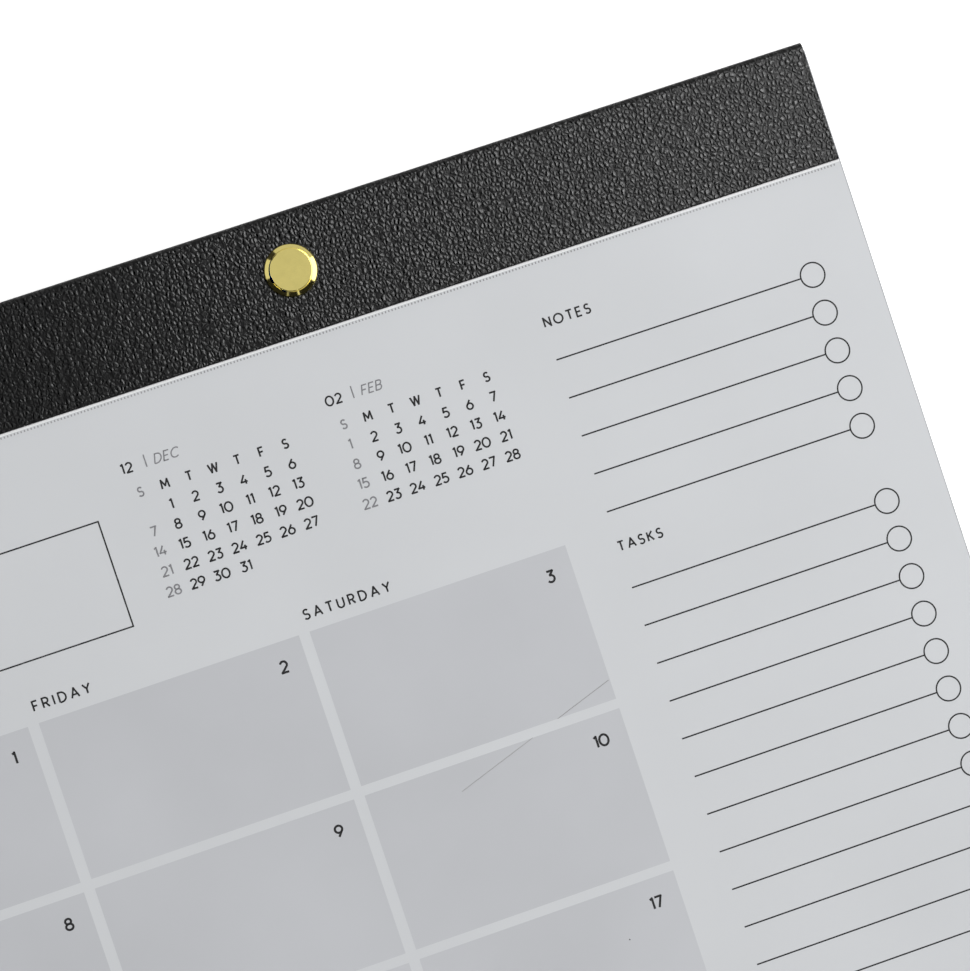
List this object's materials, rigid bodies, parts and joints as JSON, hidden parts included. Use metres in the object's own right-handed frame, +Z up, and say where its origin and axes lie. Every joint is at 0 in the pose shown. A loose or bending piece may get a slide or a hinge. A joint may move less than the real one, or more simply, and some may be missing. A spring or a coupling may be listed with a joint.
{
  "type": "desk pad calendar",
  "caption": "Flat desk pad: printed month sheets on a board, bound along the top by a folded leatherette band and screw posts.",
  "frame": {"origin": "under the middle of the pad, level with the lowest faces, the heads of the back screws", "axes": "+X along the band, +Y towards the band, +Z up out of the printed side"},
  "size_m": [0.4508, 0.2794, 0.0065],
  "materials": {
    "chipboard": "matt grey-brown chipboard",
    "paper": "matt white paper with pale grey print",
    "leatherette": "black pebbled leatherette, satin",
    "brass_front": "polished bright brass",
    "brass_back": "plain brass"
  },
  "bodies": {
    "root": {"backing_board": "chipboard", "page_block": "paper", "header_band": "leatherette", "post_left": "brass_front", "post_right": "brass_front", "post_screw_left": "brass_back", "post_screw_right": "brass_back"}
  },
  "joints": []
}
